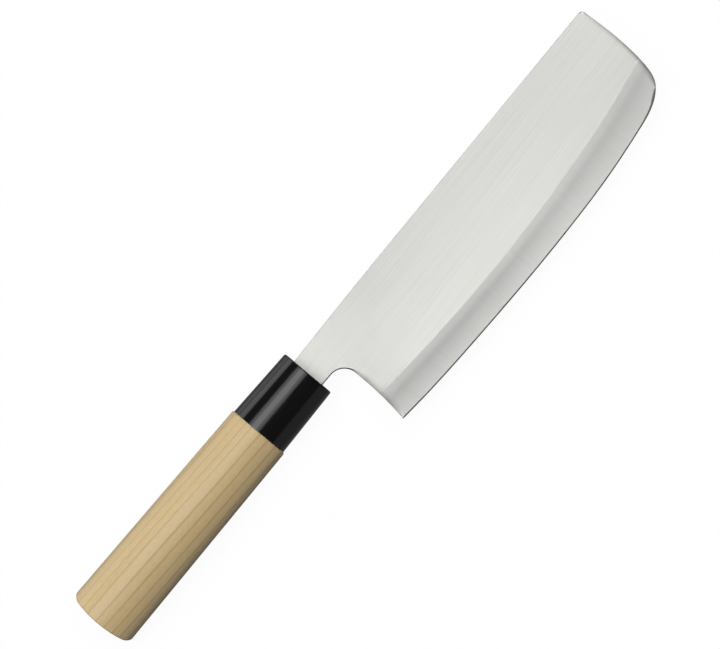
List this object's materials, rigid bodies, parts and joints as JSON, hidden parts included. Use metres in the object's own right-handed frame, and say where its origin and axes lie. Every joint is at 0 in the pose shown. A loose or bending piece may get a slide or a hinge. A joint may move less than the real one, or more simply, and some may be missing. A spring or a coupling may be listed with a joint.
{
  "type": "nakiri knife",
  "caption": "Straight-backed vegetable knife: satin steel blade with a curved grind line, black plastic ferrule and oval pale wood handle with a domed butt.",
  "frame": {"origin": "middle of the knife's bounding box, on the blade's middle plane", "axes": "+X along the handle's axis from the butt to the tip, +Y from the cutting edge towards the spine, +Z out of the blade's right side; the knife lies on its left side"},
  "size_m": [0.3003, 0.0554, 0.022],
  "materials": {
    "blade_steel": "satin ground",
    "ferrule_plastic": "moulded, glossy",
    "handle_wood": "sanded, unvarnished",
    "tang_resin": "cured resin"
  },
  "bodies": {
    "root": {"blade": "blade_steel", "ferrule": "ferrule_plastic", "handle": "handle_wood", "tang_resin": "tang_resin"}
  },
  "joints": []
}
